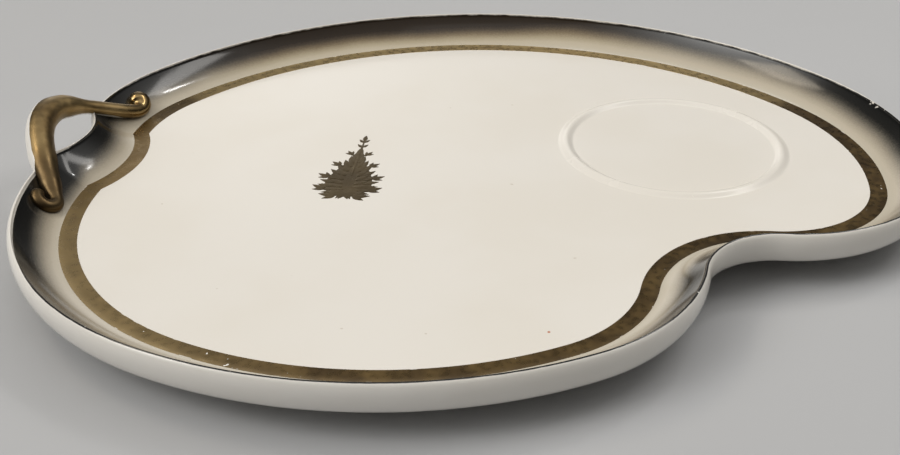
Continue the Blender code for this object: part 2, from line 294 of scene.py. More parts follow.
# Stretches of the band made browner with painted dark reflection: place, size, share
BAND_DARK_REFLECTION_STRETCHES = (
    ((-0.081, 0.037, FLOOR_TOP), 0.011, 0.8),
    ((0.0905, 0.03, FLOOR_TOP), 0.016, 0.95),
)
# A scratched stretch of it
BAND_WORN_PLACE = (-0.047, -0.077, FLOOR_TOP)
BAND_WORN_SIZE = 0.032
BAND_WORN_MORE = 0.07
# The handle's front leg is browner towards its hook, from worn gilding and painted shade, and its knob is
# smoother than the rest
LEG_WEAR_AND_SHADE_PLACE = (-0.097, -0.019, 0.0115)
LEG_WEAR_AND_SHADE_SIZE = 0.017
LEG_WEAR_AND_SHADE_SOFT = 0.6
KNOB_PLACE = (-0.09, 0.035, 0.0105)
KNOB_SIZE = 0.011

# Patches of noise: size of the lumps, detail, the limits between which they set in
GLAZE_CLOUDS = (0.036, 3, 0.35, 0.68)
GLAZE_SMEARS = (0.011, 4, 0.3, 0.7)
GLAZE_SPECKS = (0.0024, 1, 0.80, 0.83)
GLAZE_SPECK_SHARE = 0.35  # of the specks' colour
LIP_CHIPS = (0.0013, 2, 0.74, 0.77)
FOOT_STAINS = (0.006, 4, 0.35, 0.7)
FOOT_SMEARS = (0.002, 3, 0.3, 0.7)
GOLD_CLOUDS = (0.0075, 5, 0.3, 0.7)
GOLD_SMEARS = (0.0016, 4, 0.3, 0.7)
BAND_SCRATCHES = (0.0011, 1, 0.79, 0.82)
BAND_FRAYS = (0.003, 3, 0.62, 0.68)
SPRAY_WEAR = (0.0007, 2, 0.78, 0.82)
# Bumps: size of the lumps, detail, height, strength
GLAZE_WAVES = (0.02, 0, 0.0003, 0.12)
GLAZE_GRAIN = (0.0012, 2, 0.00002, 0.1)
FOOT_GRAIN = (0.0004, 3, 0.00008, 0.6)
GOLD_GRAIN = (0.0009, 2, 0.00001, 0.25)
# Wandering edges: size of the lumps, detail, amount each way
RIM_DRIFTS = (
    (0.07, 2, 0.08),
    (0.014, 4, 0.06),
    (0.0004, 1, 0.05),
)
LIP_DRIFT = (0.003, 3, 0.008)
GILT_DRIFT = (0.0035, 3, 0.07)
# Widths of soft edges
LIP_EDGE = 0.005  # each way, as a share of the wall's run
GILT_EDGE = 0.02  # each way, as a cosine round the rod
BAND_EDGE = 0.05  # the part that frays, as a share of the band's width
# Least and greatest roughness
GLAZE_SHEEN = (0.09, 0.15)
RING_SHEEN = (0.20, 0.28)
FOOT_SHEEN = (0.6, 0.85)
GOLD_SHEEN = (0.24, 0.40)
ROD_SHEEN = (0.30, 0.46)
KNOB_SHEEN = (0.14, 0.24)
GLAZE_IOR = 1.45
# Sockets of a Mix node that are for colours
MIX_A = 6
MIX_B = 7
MIX_RESULT = 2

# Studio
STUDIO_RADIUS = 4
STUDIO_SIDES = 96
STUDIO_PALE = (0.50, 0.505, 0.515)
STUDIO_GREY = (0.46, 0.465, 0.475)
STUDIO_CLOUDS = (0.11, 4)  # size of the lumps, detail
STUDIO_ROUGHNESS = 0.75
SKY_COLOR = (1, 0.985, 0.955)
SKY_LOW = 0.03  # strength at the horizon
SKY_HIGH = 0.75  # and overhead
SKY_RISE = 3.0  # a higher one keeps the low sky darker
# Soft glows in the sky: aim as bearing and elevation, strength, focus, which is higher for a smaller one
GLOWS = (
    ((-106, 42), 7.0, 30.0),
    ((60, 50), 0.9, 14.0),
    ((-10, 15), 1.4, 40.0),
)
WARM = (1, 0.97, 0.93)
NEUTRAL = (1, 0.99, 0.97)
AMBER = (1, 0.88, 0.70)
# Lamps: name, aim, distance, width, height, power, colour
LAMPS = (
    ("overhead_softbox", (-95, 75), 1.25, 0.9, 1.2, 1.3, WARM),
    ("right_window", (64, 51), 0.95, 0.5, 0.13, 1.1, WARM),
    ("right_window_end", (41, 55), 0.95, 0.04, 0.07, 0.35, NEUTRAL),
    ("left_window", (-70, 54), 0.95, 0.22, 0.17, 0.7, AMBER),
)

# Camera at the photograph's viewing angle
CAMERA_LENS = 47.4
CAMERA_PLACE = (-0.00633, -0.25699, 0.13984)
CAMERA_TILT = math.radians(59.94)
CAMERA_NEAR = 0.01

ring_low, ring_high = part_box("cup_ring")
CUP_RING_CENTRE = ((ring_low + ring_high) / 2).to_2d()
PLAN_ORIGIN = CUP_RING_CENTRE - Vector((CUP_LOBE_X - CUP_RING_BACK_X, CUP_LOBE_Y + CUP_RING_BACK_Y))


def ray(angle):
    return Vector((math.cos(angle), math.sin(angle)))


def bearing(vector):
    return math.atan2(vector.y, vector.x)


def even_shares(count):
    """Shares from 0 to 1, in this many steps."""
    return [index / count for index in range(count + 1)]


def quarter_turn(count):
    """Angles from 0 to a right angle, in this many steps."""
    return [math.pi / 2 * share for share in even_shares(count)]


def smooth_step(value):
    value = min(max(value, 0), 1)
    return value * value * (3 - 2 * value)


def between(value, limits):
    """A smooth step of the value from the first limit to the second."""
    start, end = limits
    return smooth_step((value - start) / (end - start))


def bezier(a, b, c, d, share):
    points = [Vector(point) for point in (a, b, c, d)]
    while len(points) > 1:
        points = [point.lerp(after, share) for point, after in zip(points, points[1:])]
    return points[0]


def meeting_point(a, reach_a, b, reach_b, side):
    """The point this far from a and from b, left of the way from a to b for side 1, or else right of it."""
    way = b - a
    along = (way.length_squared + reach_a**2 - reach_b**2) / (2 * way.length)
    across = math.sqrt(reach_a**2 - along**2)
    way.normalize()
    return a + way * along + Vector((-way.y, way.x)) * across * side


class Arc:
    """Part of a circle, walked from an angle through a sweep. On a hollow one, outwards is to its centre."""

    def __init__(self, centre, radius, start, sweep):
        self.centre, self.radius, self.start, self.sweep = centre, radius, start, sweep
        self.steps = max(radius * abs(sweep) / STEP, abs(sweep) / TURN)

    def at(self, share):
        out = ray(self.start + self.sweep * share)
        return self.centre + out * self.radius, out if self.sweep > 0 else -out


class Straight:
    """A straight stretch of the outline, with its outside on the right."""

    def __init__(self, start, end):
        self.start, self.end = start, end
        self.steps = (end - start).length / STEP

    def at(self, share):
        way = (self.end - self.start).normalized()
        return self.start.lerp(self.end, share), Vector((way.y, -way.x))


def bridge(lobe, following, radius):
    """The arc that is tangent to two lobes, hollow if its radius is negative."""
    (a, a_radius), (b, b_radius) = lobe, following
    if radius < 0:
        centre = meeting_point(a, a_radius - radius, b, b_radius - radius, -1)
        start, end = bearing(a - centre), bearing(b - centre)
        return Arc(centre, -radius, start, -((start - end) % math.tau))
    centre = meeting_point(a, radius - a_radius, b, radius - b_radius, 1)
    start, end = bearing(a - centre), bearing(b - centre)
    return Arc(centre, radius, start, (end - start) % math.tau)


def tangent_line(lobe, following):
    (a, a_radius), (b, b_radius) = lobe, following
    out = ray(bearing(b - a) - math.acos((a_radius - b_radius) / (b - a).length))
    return Straight(a + out * a_radius, b + out * b_radius)


def lobe_arc(lobe, start, end):
    """The part of a lobe between two outward directions."""
    centre, radius = lobe
    return Arc(centre, radius, bearing(start), (bearing(end) - bearing(start)) % math.tau)


def lip_outline():
    """The pieces of the lip's inner edge, from the front end of the straight side round to that side."""
    handle = (PLAN_ORIGIN, HANDLE_LOBE_RADIUS)
    waist = (PLAN_ORIGIN + Vector((WAIST_LOBE_X, WAIST_LOBE_Y)), WAIST_LOBE_RADIUS)
    cup = (PLAN_ORIGIN + Vector((CUP_LOBE_X, CUP_LOBE_Y)), CUP_LOBE_RADIUS)
    back = (PLAN_ORIGIN + Vector((BACK_LOBE_X, BACK_LOBE_Y)), BACK_LOBE_RADIUS)
    turn = ray(END_START)
    end = (cup[0] + turn * (CUP_LOBE_RADIUS - END_ARC), END_ARC)
    front_join = bridge(handle, waist, FRONT_ARC)
    waist_join = bridge(waist, cup, -WAIST_ARC)
    back_join = bridge(end, back, BACK_ARC)
    side = tangent_line(back, handle)
    return [
        lobe_arc(handle, side.at(1)[1], front_join.at(0)[1]),
        front_join,
        lobe_arc(waist, front_join.at(1)[1], waist_join.at(0)[1]),
        waist_join,
        lobe_arc(cup, waist_join.at(1)[1], turn),
        lobe_arc(end, turn, back_join.at(0)[1]),
        back_join,
        lobe_arc(back, back_join.at(1)[1], side.at(0)[1]),
        side,
    ]


OUTLINE = lip_outline()
OUTLINE_STEPS = sum(piece.steps for piece in OUTLINE)
SIDE_MIDDLE, HANDLE_OUT = OUTLINE[-1].at(0.5)
HANDLE_ALONG = Vector((HANDLE_OUT.y, -HANDLE_OUT.x))
BAY_CENTRE = SIDE_MIDDLE + HANDLE_OUT * (BAY_RADIUS - WALL_RUN - BAY_DEPTH)
BAY_STEPS = math.ceil(math.acos(1 - BAY_DEPTH / BAY_RADIUS) / TURN)


def outline_point(position, inset):
    """A point this far inside the lip's edge. The position counts steps from the straight side's middle."""
    position = (position - OUTLINE[-1].steps / 2) % OUTLINE_STEPS
    for piece in OUTLINE:
        if position <= piece.steps:
            break
        position -= piece.steps
    point, out = piece.at(min(position / piece.steps, 1))
    return point - out * inset


def bay_corner(inset, side):
    """How many steps from the straight side's middle the curve at this inset leaves the bay's circle.

    Side 1 counts towards the front, and side -1 towards the back.
    """
    radius = BAY_RADIUS + inset - WALL_RUN
    inside, outside = 0, OUTLINE_STEPS / 4
    for _ in range(HALVINGS):
        middle = (inside + outside) / 2
        if (outline_point(side * middle, inset) - BAY_CENTRE).length < radius:
            inside = middle
        else:
            outside = middle
    return outside


def plain_ring(inset):
    """Points round the outline at this inset, without the bay."""
    shares = even_shares(round(OUTLINE_STEPS))[:-1]
    return [outline_point(OUTLINE_STEPS * share, inset) for share in shares]


def bay_ring(inset):
    """Points round the outline and the bay at this inset, as many as at any other.

    The bay's two corners are sharp at the foot of the wall and inside it. Further out they are rounded.
    """
    level = max(inset, WALL_RUN)
    outwards = level - inset
    front, back = bay_corner(level, 1), bay_corner(level, -1)
    span = OUTLINE_STEPS - front - back
    points = [outline_point(front + span * share, inset) for share in even_shares(round(OUTLINE_STEPS))]
    corners = [outline_point(-back, level), outline_point(front, level)]
    half = bearing(HANDLE_OUT)
    swing = bearing(BAY_CENTRE - corners[0]) - half
    swing = (swing + math.pi) % math.tau - math.pi
    shares = even_shares(BAY_STEPS)[1:-1]
    points += [corners[0] + ray(half + swing * share) * outwards for share in shares]
    radius = BAY_RADIUS + inset - WALL_RUN
    for share in even_shares(4 * BAY_STEPS):
        points.append(BAY_CENTRE - ray(half + swing * (1 - 2 * share)) * radius)
    points += [corners[1] + ray(half - swing * (1 - share)) * outwards for share in shares]
    return points


def raised(points, height):
    return [Vector((point.x, point.y, height)) for point in points]


def surface_height(inset):
    """Height of the dish's upper side this far inside the lip's edge, with an eased turn into the floor."""
    total = 0
    for index in range(-EASE_STEPS, EASE_STEPS + 1):
        share = max(1 - (inset + WALL_SOFTNESS * index / EASE_STEPS) / WALL_RUN, 0)
        total += (1 - WALL_CURVE) * share + WALL_CURVE * share**2
    return FLOOR_TOP + WALL_RISE * total / (2 * EASE_STEPS + 1)


def skin(bm, rings, closed=False, traits=None):
    """Walls between rings of as many points each. A closed skin joins the last ring to the first.

    Any other has its two ends filled. Traits are values for each point, by the name of their layer.
    """
    layers = {name: bm.verts.layers.float.new(name) for name in traits or {}}
    verts = [[bm.verts.new(point) for point in ring] for ring in rings]
    for name, layer in layers.items():
        for ring, values in zip(verts, traits[name]):
            for vert, value in zip(ring, values):
                vert[layer] = value
    count = len(verts[0])
    for index in range(0 if closed else 1, len(verts)):
        below, above = verts[index - 1], verts[index]
        for corner in range(count):
            following = (corner + 1) % count
            bm.faces.new((below[corner], below[following], above[following], above[corner]))
    if not closed:
        bm.faces.new(reversed(verts[0]))
        bm.faces.new(verts[-1])
    bmesh.ops.remove_doubles(bm, verts=[vert for ring in verts for vert in ring], dist=MERGE)


def new_mesh(name, bm, material):
    mesh = bpy.data.meshes.new(name)
    bm.to_mesh(mesh)
    bm.free()
    mesh.materials.append(material)
    return mesh


def new_object(name, data):
    made = bpy.data.objects.new(name, data)
    bpy.context.scene.collection.objects.link(made)
    return made


def new_piece(name, build_mesh, material, node):
    """One piece of the plate, which stands for a solid and hides it."""
    bm = bmesh.new()
    build_mesh(bm)
    bmesh.ops.recalc_face_normals(bm, faces=bm.faces)
    mesh = new_mesh(name, bm, material)
    mesh.shade_smooth()
    mesh.set_sharp_from_angle(angle=SHARP)
    piece = new_object(name, mesh)
    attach(piece, "root")
    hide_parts(node)


def upper_section():
    """The dish's section as (inset, height), from the middle of the floor to the lip's outer edge."""
    points = [(inset, FLOOR_TOP) for inset in FLOOR_INSETS]
    for share in even_shares(WALL_STEPS):
        inset = WALL_START * (1 - share)
        points.append((inset, surface_height(inset)))
    top = points[-1][1]
    angles = quarter_turn(LIP_STEPS)[1:]
    for angle in angles:
        points.append((-LIP_CREST * (1 - math.cos(angle)), top + LIP_CROWN * math.sin(angle)))
    for angle in angles[:-1]:
        out = LIP_CREST + (LIP_WIDTH - LIP_CREST) * math.sin(angle)
        points.append((-out, top - LIP_SHOULDER + (LIP_CROWN + LIP_SHOULDER) * math.cos(angle)))
    return points


def lower_section():
    """The rest of the dish's section, from the lip down the outside to the middle of the underside."""
    shoulder = surface_height(0) - LIP_SHOULDER
    points = []
    for share in even_shares(SIDE_STEPS):
        angle = SIDE_TURN * share
        inset = SIDE_RUN * (1 - math.cos(angle)) - LIP_WIDTH
        points.append((inset, shoulder - SIDE_DROP * math.sin(angle)))
    side_end = Vector(points[-1])
    side_way = Vector((SIDE_RUN * math.sin(SIDE_TURN), -SIDE_DROP * math.cos(SIDE_TURN))).normalized()
    under = Vector((UNDERSIDE_INSET, FOOT_HEIGHT))
    ease = under - Vector((UNDERSIDE_EASE, 0))
    for share in even_shares(UNDER_STEPS)[1:]:
        points.append(bezier(side_end, side_end + side_way * SIDE_EASE, ease, under, share))
    return points + [(inset, FOOT_HEIGHT) for inset in UNDERSIDE_INSETS]


def lip_cover(point):
    """The cover of the lip at a place on it, as a share of the wall's run."""
    left, front = between(point.x, HANDLE_BARE_X), between(point.y, HANDLE_BARE_Y)
    handle = left * (HANDLE_BARE * front + BAY_BARE * (1 - front))
    return (LIP_COVER - max(handle, BACK_BARE * between(point.y, BACK_BARE_Y))) / WALL_RUN


def dish(bm):
    """The dish in one skin, with its depth inside the lip and the lip's cover at each point."""
    upper, lower = upper_section(), lower_section()
    section = upper + lower
    rings = [raised(bay_ring(inset), height) for inset, height in section]
    count = len(rings[0])
    depths = [[inset / WALL_RUN] * count for inset, _ in upper] + [[OUTSIDE] * count for _ in lower]
    covers = [[lip_cover(point) for point in bay_ring(0)]] * len(section)
    skin(bm, rings, traits={"depth": depths, "cover": covers})


def foot(bm):
    """The ring that the plate stands on, with rounded edges below, from inside the dish's underside."""
    top = FOOT_HEIGHT + SINK
    slack = (FOOT_TOP_WIDTH - FOOT_BASE_WIDTH) / 2
    outer, inner = FOOT_INSET + slack, FOOT_INSET + slack + FOOT_BASE_WIDTH
    rounding = []
    for angle in quarter_turn(FOOT_STEPS):
        rounding.append((FOOT_ROUNDING * (1 - math.cos(angle)), FOOT_ROUNDING * (1 - math.sin(angle))))
    section = [(FOOT_INSET, top)]
    section += [(outer + side, height) for side, height in rounding]
    section += [(inner - side, height) for side, height in reversed(rounding)]
    section.append((FOOT_INSET + FOOT_TOP_WIDTH, top))
    skin(bm, [raised(plain_ring(inset), height) for inset, height in section], closed=True)


def cup_ring(bm):
    """A low ridge, steeper inside, that runs out into the floor on both sides."""

    def circle(radius, height):
        angles = [math.tau * share for share in even_shares(RING_STEPS)[:-1]]
        return raised([CUP_RING_CENTRE + ray(angle) * radius for angle in angles], height)

    inner, outer = CUP_RING_RADIUS - CUP_RING_INNER_FLANK, CUP_RING_RADIUS + CUP_RING_OUTER_FLANK
    rings = [circle(outer, FLOOR_TOP - SINK), circle(inner, FLOOR_TOP - SINK)]
    for share in even_shares(RIDGE_STEPS):
        side = 2 * share - 1
        flank = CUP_RING_INNER_FLANK if side < 0 else CUP_RING_OUTER_FLANK
        rise = CUP_RING_HEIGHT * (1 + math.cos(math.pi * side)) / 2
        rings.append(circle(CUP_RING_RADIUS + flank * side, FLOOR_TOP + rise - CUP_RING_EDGE))
    skin(bm, rings, closed=True)


def band(bm):
    """The gilt line at the foot of the wall, laid on the dish's surface."""
    outer, inner = WALL_RUN - BAND_LAP, WALL_RUN + BAND_WIDTH
    lines = [(outer + (inner - outer) * share, GILDING, share) for share in even_shares(BAND_STEPS)]
    lines += [(inner, -SINK, 1), (outer, -SINK, 0)]
    rings = [raised(bay_ring(inset), surface_height(inset) + lift) for inset, lift, _ in lines]
    across = [[share] * len(rings[0]) for _, _, share in lines]
    # Traits for the band's painted reflection: paler at the back and front left, browner away from the handle
    pale, brown = [], []
    for point in rings[0]:
        brown.append(between(point.x, BAND_DARK_REFLECTION_X))
        left = BAND_LEFT_REFLECTION_SHARE * between(point.y, BAND_LEFT_REFLECTION_Y) * (1 - brown[-1])
        pale.append(max(between(point.y, BAND_PALE_REFLECTION_Y), left))
    traits = {"across": across, "pale": [pale] * len(rings), "brown": [brown] * len(rings)}
    skin(bm, rings, closed=True, traits=traits)


def rod_radius(place):
    """Radius of the handle's rod at a place on the arch, from -1 to 1."""
    for (start, low), (end, high) in zip(ROD_RADII, ROD_RADII[1:]):
        if place <= end:
            return low + (high - low) * between(place, (start, end))
    return ROD_RADII[-1][1]


def rod_end(path, radius, turn, tip):
    """An end of the rod, as (along, up the slope, radius): a turn up the wall and a round tip."""
    before, last = Vector(path[-2][:2]), Vector(path[-1][:2])
    heading = bearing(last - before)
    centre = last + ray(heading + math.pi / 2) * radius
    points = []
    for share in even_shares(CURL_STEPS)[1:]:
        place = centre + ray(heading - math.pi / 2 + turn * share) * radius
        points.append((*place, path[-1][2] + (tip - path[-1][2]) * smooth_step(share)))
    end = Vector(points[-1][:2])
    for share in even_shares(TIP_STEPS)[1:]:
        place = end + ray(heading + turn) * tip * math.sin(TIP_TURN * share)
        points.append((*place, tip * math.cos(TIP_TURN * share)))
    return points


def rod_path():
    """The handle's middle line in its sloping plane, from the hook's tip to the knob's."""

    def leg(side, span, fall):
        points = []
        for share in even_shares(LEG_STEPS):
            up = HANDLE_REACH * max(math.cos(math.pi / 2 * share), 0) ** fall
            points.append((span * share, up, rod_radius(side * share)))
        return points

    front = leg(-1, HANDLE_FRONT_SPAN, HANDLE_FRONT_FALL)
    front += rod_end(front, HOOK_RADIUS, HOOK_TURN, HOOK_TIP)
    back = leg(1, HANDLE_BACK_SPAN, HANDLE_BACK_FALL)
    back += rod_end(back, KNOB_RADIUS, KNOB_TURN, KNOB_TIP)
    return [(-along, up, radius) for along, up, radius in reversed(front[1:])] + back


def rod(bm):
    """The handle, with how far within the gilding each point lies."""
    path = rod_path()
    along_way = HANDLE_ALONG.to_3d()
    up_way = HANDLE_OUT.to_3d() * math.cos(HANDLE_SLOPE) + Vector((0, 0, math.sin(HANDLE_SLOPE)))
    across_way = along_way.cross(up_way)
    start = raised([SIDE_MIDDLE - HANDLE_OUT * HANDLE_INSET], FLOOR_TOP + HANDLE_LIFT)[0]
    angles = [math.tau * share for share in even_shares(ROD_SIDES)[:-1]]
    rings, gilt = [], []
    for index, (along, up, radius) in enumerate(path):
        before, after = path[max(index - 1, 0)], path[min(index + 1, len(path) - 1)]
        way = (along_way * (after[0] - before[0]) + up_way * (after[1] - before[1])).normalized()
        beside = across_way.cross(way)
        centre = start + along_way * along + up_way * up
        turns = [ray(angle) * radius for angle in angles]
        rings.append([centre + beside * turn.x + across_way * turn.y * ROD_DEPTH for turn in turns])
        full = between(abs(along), GILT_FULL)
        half = GILT_HALF + (math.pi - GILT_HALF) * full
        gilt.append([math.cos(angle - GILT_MIDDLE) - math.cos(half) + full for angle in angles])
    skin(bm, rings, traits={"gilt": gilt})


def teardrop(angle):
    """A point on the right edge of the spray's teardrop, from angle 0 at its foot to pi at its top."""
    peak = SPRAY_TAPER ** (SPRAY_TAPER / 2) / (SPRAY_TAPER + 1) ** ((SPRAY_TAPER + 1) / 2)
    across = math.sin(angle / 2) * math.cos(angle / 2) ** SPRAY_TAPER / peak
    return Vector((SPRAY_WIDTH * across / 2, SPRAY_HEIGHT * (1 - math.cos(angle)) / 2))


def on_floor(point):
    """Where a point of the spray, placed from its foot, lies on the plate's floor."""
    lean = ray(SPRAY_LEAN)
    turned = Vector((point.x * lean.x + point.y * lean.y, point.y * lean.x - point.x * lean.y))
    return PLAN_ORIGIN + Vector((SPRAY_X, SPRAY_Y)) + turned


def leaf(bm, root, tip, width, layer):
    """A pointed leaf with a raised rib, widest nearer its root."""
    height = FLOOR_TOP + GILDING + LAYER * layer
    way = tip - root
    side = Vector((-way.y, way.x)).normalized()
    rings = []
    for share in even_shares(LEAF_STEPS):
        half = max(width / 2 * math.sin(math.pi * share**LEAF_FULLNESS), LEAF_POINT)
        middle = root + way * share
        left, right = on_floor(middle - side * half), on_floor(middle + side * half)
        tops = raised([right, on_floor(middle), left], height)
        tops[1].z += LEAF_RIB
        rings.append(raised([left, right], FLOOR_TOP - SINK) + tops)
    skin(bm, rings)


def sprig(bm, root, tip, length, layer):
    """A stalk with three leaves, the middle one ending at the tip."""
    way = (tip - root).normalized()
    joint = tip - way * length
    leaf(bm, root, joint + way * STEM_WIDTH, STEM_WIDTH, layer)
    for turn in (-1, 0, 1):
        reach = length if turn == 0 else length * SPRIG_SIDE_LEAF
        end = joint + ray(bearing(way) + SPRIG_SPREAD * turn) * reach
        leaf(bm, joint, end, reach * LEAF_SHAPE, layer)


def mirrored(point):
    return Vector((-point.x, point.y))


def heart_edge(share):
    """A point on the right edge of the spray's heart, from its foot to its top."""
    point = teardrop(math.pi * share)
    return Vector((point.x * HEART_WIDTH, point.y * HEART_HEIGHT + HEART_UP))


def heart(bm):
    """The filled middle of the spray, with rows of small leaves that fan out from it."""
    right = [heart_edge(share) for share in even_shares(HEART_STEPS)]
    outline = right + [mirrored(point) for point in reversed(right[1:-1])]
    filled = [on_floor(point) for point in outline]
    skin(bm, [raised(filled, FLOOR_TOP - SINK), raised(filled, FLOOR_TOP + GILDING)])
    for row, size in enumerate(HEART_ROWS, start=1):
        for index in range(HEART_LEAVES):
            edge = heart_edge((index + 0.5) / HEART_LEAVES)
            edge.x *= size
            out = (edge - Vector((0, edge.y * HEART_LEAF_FAN + HEART_LEAF_ROOT))).normalized()
            root, tip = edge - out * HEART_LEAF_ROOT, edge + out * HEART_LEAF_TIP
            leaf(bm, root, tip, HEART_LEAF_WIDTH, row)
            leaf(bm, mirrored(root), mirrored(tip), HEART_LEAF_WIDTH, row)


def spray(bm):
    """A heart, sprigs in pairs and a leaning stem with buds and a leaf at its top."""
    heart(bm)
    for share in even_shares(SPRIG_PAIRS - 1):
        tip = teardrop(SPRIG_LOWEST + (SPRIG_HIGHEST - SPRIG_LOWEST) * share)
        root = Vector((tip.x * SPRIG_ROOT, max(tip.y - SPRIG_RISE, HEART_UP)))
        length = SPRIG_LEAF * (1 - SPRIG_TAPER * share)
        sprig(bm, root, tip, length, SPRIG_LAYER)
        sprig(bm, mirrored(root), mirrored(tip), length, SPRIG_LAYER)
    top = Vector((0, SPRAY_HEIGHT))
    leaf(bm, top * HEART_HEIGHT / 2, top, STEM_WIDTH, STEM_LAYER)
    for share in STEM_BUDS:
        root = top * share
        tip = root + ray(math.pi / 2 - SPRIG_SPREAD) * BUD_LENGTH
        leaf(bm, root, tip, BUD_LENGTH * LEAF_SHAPE, SPRIG_LAYER)
        leaf(bm, root, mirrored(tip), BUD_LENGTH * LEAF_SHAPE, SPRIG_LAYER)
    leaf(bm, top - Vector((0, TOP_LENGTH)), top, TOP_WIDTH, STEM_LAYER)


class Nodes:
    """Short calls for the nodes of one tree."""

    def __init__(self, tree):
        self.tree = tree

    def put(self, socket, value):
        if isinstance(value, bpy.types.NodeSocket):
            self.tree.links.new(value, socket)
        elif isinstance(value, tuple) and socket.type == "RGBA":
            socket.default_value = (*value, 1)
        else:
            socket.default_value = value

    def node(self, kind, inputs=None, **settings):
        made = self.tree.nodes.new("ShaderNode" + kind)
        for name, value in settings.items():
            setattr(made, name, value)
        for socket, value in (inputs or {}).items():
            self.put(made.inputs[socket], value)
        return made

    def math(self, operation, a, b=0.0):
        return self.node("Math", {0: a, 1: b}, operation=operation).outputs[0]

    def sum(self, first, *others):
        for other in others:
            first = self.math("ADD", first, other)
        return first


class Look(Nodes):
    """A material with a Principled shader."""

    def __init__(self, name):
        self.material = bpy.data.materials.new(name)
        self.material.use_nodes = True
        super().__init__(self.material.node_tree)
        self.shader = self.tree.nodes["Principled BSDF"]
        self.place = self.node("TexCoord").outputs["Object"]

    def set(self, name, value):
        self.put(self.shader.inputs[name], value)

    def trait(self, name):
        return self.node("Attribute", attribute_name=name).outputs["Fac"]

    def ramp(self, value, low, high, to_low=0.0, to_high=1.0):
        """A smooth step of the value, from one end to the other."""
        inputs = {"Value": value, "From Min": low, "From Max": high, "To Min": to_low, "To Max": to_high}
        return self.node("MapRange", inputs, interpolation_type="SMOOTHSTEP").outputs["Result"]

    def near(self, place, size, share=1.0, soft=0.5):
        """This share close to a place, fading to 0 at the distance size. Soft is the part that fades."""
        distance = self.node("VectorMath", {0: self.place, 1: place}, operation="DISTANCE").outputs["Value"]
        return self.ramp(distance, size, size * (1 - soft), to_high=share)

    def noise(self, size, detail):
        """Noise between 0 and 1, with lumps of about this size in metres."""
        inputs = {"Vector": self.place, "Scale": 1 / size, "Detail": detail}
        return self.node("TexNoise", inputs).outputs["Fac"]

    def sway(self, size, detail, amount):
        """Noise around 0, of this amount each way."""
        inputs = {"Value": self.noise(size, detail), "To Min": -amount, "To Max": amount}
        return self.node("MapRange", inputs).outputs["Result"]

    def patches(self, size, detail, low, high, to_low=0.0, to_high=1.0, more=None):
        """Patches of noise between two limits. There are more of them where something is added to it."""
        noise = self.noise(size, detail)
        if more:
            noise = self.sum(noise, more)
        return self.ramp(noise, low, high, to_low, to_high)

    def bumps(self, size, detail, height, strength, under=None):
        """The surface's normal with bumps of noise, over other bumps if there are any."""
        inputs = {"Height": self.noise(size, detail), "Distance": height, "Strength": strength}
        if under:
            inputs["Normal"] = under
        return self.node("Bump", inputs).outputs["Normal"]

    def mix(self, share, a, b):
        made = self.node("Mix", {"Factor": share}, data_type="RGBA")
        self.put(made.inputs[MIX_A], a)
        self.put(made.inputs[MIX_B], b)
        return made.outputs[MIX_RESULT]

    def stops(self, value, stops):
        """Colours along a value, as (position, colour) pairs, the first of them at 0."""
        made = self.node("ValToRGB", {"Fac": value})
        elements = made.color_ramp.elements
        elements.remove(elements[-1])
        elements[0].color = (*stops[0][1], 1)
        for position, color in stops[1:]:
            elements.new(position).color = (*color, 1)
        return made.outputs["Color"]


def porcelain(look, pale, deep):
    """A glazed colour with faint clouds and small specks."""
    color = look.mix(look.patches(*GLAZE_CLOUDS), pale, deep)
    return look.mix(look.patches(*GLAZE_SPECKS, to_high=GLAZE_SPECK_SHARE), color, SPECK)


def glazed(look, color, sheen):
    """A coat of glaze over a colour, with a surface that isn't quite even."""
    look.set("IOR", GLAZE_IOR)
    look.set("Roughness", look.patches(*GLAZE_SMEARS, *sheen))
    look.set("Normal", look.bumps(*GLAZE_GRAIN, under=look.bumps(*GLAZE_WAVES)))
    look.set("Base Color", color)
    return look.material


def glaze_look():
    """White outside, and inside shaded from black at the lip to cream at the floor."""
    look = Look("glaze")
    depth = look.trait("depth")
    reach = look.sum(depth, *(look.sway(*drift) for drift in RIM_DRIFTS))
    # The shifts include painted reflection at the back right and painted shade under the handle's front leg
    reach = look.sum(reach, *(look.near(*shift) for shift in RIM_SHIFTS_AND_PAINTED_LIGHT))
    tones = [look.stops(reach, row) for row in (RIM_TONES_WITH_FOOT_SHADE, RIM_TONES_WITH_FOOT_SHADE_BACK)]
    rim = look.mix(look.near(RIM_BACK_PLACE, RIM_BACK_SIZE), *tones)
    speck = look.near(RED_SPECK_PLACE, RED_SPECK_SIZE)
    cream = look.mix(speck, porcelain(look, CREAM, CREAM_DEEP), RED_SPECK)
    inside = look.mix(look.ramp(reach, *RIM_FADE), rim, cream)
    covered = look.sum(depth, look.trait("cover"), look.sway(*LIP_DRIFT))
    chipped = look.near(CHIP_PLACE, CHIP_SIZE, CHIP_MORE, CHIP_SOFT)
    chips = look.math("MULTIPLY", look.patches(*LIP_CHIPS, more=chipped), look.ramp(depth, *CHIP_DEPTHS))
    whole = look.math("SUBTRACT", 1.0, chips)
    covered = look.math("MULTIPLY", look.ramp(covered, -LIP_EDGE, LIP_EDGE), whole)
    return glazed(look, look.mix(covered, porcelain(look, WHITE, WHITE_DEEP), inside), GLAZE_SHEEN)


def ring_look():
    look = Look("ring_glaze")
    return glazed(look, porcelain(look, CREAM, CREAM_DEEP), RING_SHEEN)


def foot_look():
    """Unglazed clay, a little rough and stained."""
    look = Look("bare_foot")
    look.set("Base Color", look.mix(look.patches(*FOOT_STAINS), CLAY, CLAY_STAINED))
    look.set("Roughness", look.patches(*FOOT_SMEARS, *FOOT_SHEEN))
    look.set("Normal", look.bumps(*FOOT_GRAIN))
    return look.material


